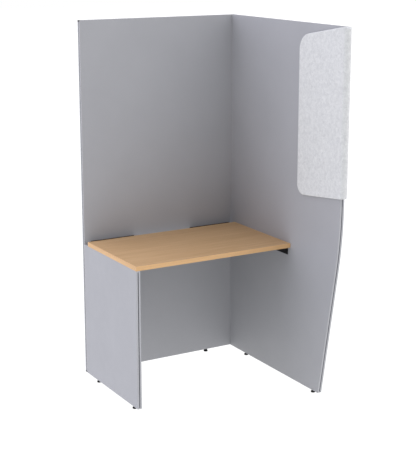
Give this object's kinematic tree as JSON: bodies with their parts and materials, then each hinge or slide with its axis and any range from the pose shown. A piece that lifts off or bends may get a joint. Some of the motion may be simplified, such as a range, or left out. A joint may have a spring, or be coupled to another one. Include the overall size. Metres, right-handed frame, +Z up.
{
  "type": "office booth",
  "caption": "Free-standing work booth: a tall back panel, a tall right panel with a slanted front edge, a low left panel, a wood-pattern desk and a felt cover.",
  "frame": {"origin": "on the floor, under the middle of the whole booth's box", "axes": "+X to the right panel, +Y to the back panel, +Z up; a person sits at -Y and faces +Y"},
  "size_m": [0.895, 1.016, 1.815],
  "materials": {
    "panel_grey": "matt melamine sheet, light cool grey",
    "trim_grey": "satin extruded edge trim, light grey",
    "core_board": "raw particle board",
    "groove_black": "matt dark strip",
    "cap_black": "moulded, fine texture",
    "desk_wood": "beech-pattern laminate, satin",
    "under_sheet": "plain balancing sheet",
    "desk_band": "beech-pattern edge band, satin",
    "angle_black": "black powder coat, fine texture",
    "screw_black": "black oxide",
    "zinc_steel": "zinc plated",
    "felt": "pressed fibre felt, mottled light grey",
    "tape": "hook-and-loop tape",
    "foot_black": "moulded black nylon"
  },
  "bodies": {
    "booth": {"angle_screws": "screw_black", "back_core": "core_board", "back_corner_caps": "cap_black", "back_front_skin": "panel_grey", "back_groove_strips": "groove_black", "back_rear_skin": "panel_grey", "back_trim_bottom": "trim_grey", "back_trim_left": "trim_grey", "back_trim_top": "trim_grey", "desk_angle_left": "angle_black", "desk_angle_rear_left": "angle_black", "desk_angle_rear_right": "angle_black", "desk_angle_right": "angle_black", "desk_band_front": "desk_band", "desk_band_left": "desk_band", "desk_band_rear": "desk_band", "desk_band_right": "desk_band", "desk_board": "core_board", "desk_top_sheet": "desk_wood", "desk_under_sheet": "under_sheet", "felt_cover": "felt", "felt_tapes_inner": "tape", "felt_tapes_outer": "tape", "foot_sleeves": "zinc_steel", "left_core": "core_board", "left_corner_caps": "trim_grey", "left_groove_strips": "groove_black", "left_inner_skin": "panel_grey", "left_joint_bolts": "zinc_steel", "left_joint_plugs": "trim_grey", "left_joint_sleeves": "zinc_steel", "left_outer_skin": "panel_grey", "left_trim_bottom": "trim_grey", "left_trim_front": "trim_grey", "left_trim_top": "trim_grey", "right_core": "core_board", "right_corner_caps": "trim_grey", "right_groove_strips": "groove_black", "right_inner_skin": "panel_grey", "right_joint_bolts": "zinc_steel", "right_joint_plugs": "trim_grey", "right_joint_sleeves": "zinc_steel", "right_outer_skin": "panel_grey", "right_trim_bottom": "trim_grey", "right_trim_front": "trim_grey", "right_trim_rear": "trim_grey", "right_trim_top": "trim_grey"},
    "foot_back_left": {"foot_pad_back_left": "foot_black", "foot_stud_back_left": "screw_black"},
    "foot_back_right": {"foot_pad_back_right": "foot_black", "foot_stud_back_right": "screw_black"},
    "foot_right_rear": {"foot_pad_right_rear": "foot_black", "foot_stud_right_rear": "screw_black"},
    "foot_right_front": {"foot_pad_right_front": "foot_black", "foot_stud_right_front": "screw_black"},
    "foot_left_rear": {"foot_pad_left_rear": "foot_black", "foot_stud_left_rear": "screw_black"},
    "foot_left_front": {"foot_pad_left_front": "foot_black", "foot_stud_left_front": "screw_black"}
  },
  "joints": [
    {"name": "turn_back_left", "type": "hinge", "parent": "booth", "child": "foot_back_left", "pos_m": [-0.2975, 0.497, 0.015], "axis": [0, 0, 1], "range_deg": [0, 2880]},
    {"name": "turn_back_right", "type": "hinge", "parent": "booth", "child": "foot_back_right", "pos_m": [0.2655, 0.497, 0.015], "axis": [0, 0, 1], "range_deg": [0, 2880]},
    {"name": "turn_right_rear", "type": "hinge", "parent": "booth", "child": "foot_right_rear", "pos_m": [0.4265, 0.336, 0.015], "axis": [0, 0, 1], "range_deg": [0, 2880]},
    {"name": "turn_right_front", "type": "hinge", "parent": "booth", "child": "foot_right_front", "pos_m": [0.4265, -0.288, 0.015], "axis": [0, 0, 1], "range_deg": [0, 2880]},
    {"name": "turn_left_rear", "type": "hinge", "parent": "booth", "child": "foot_left_rear", "pos_m": [-0.4365, 0.368, 0.015], "axis": [0, 0, 1], "range_deg": [0, 2880]},
    {"name": "turn_left_front", "type": "hinge", "parent": "booth", "child": "foot_left_front", "pos_m": [-0.4365, -0.03, 0.015], "axis": [0, 0, 1], "range_deg": [0, 2880]}
  ]
}
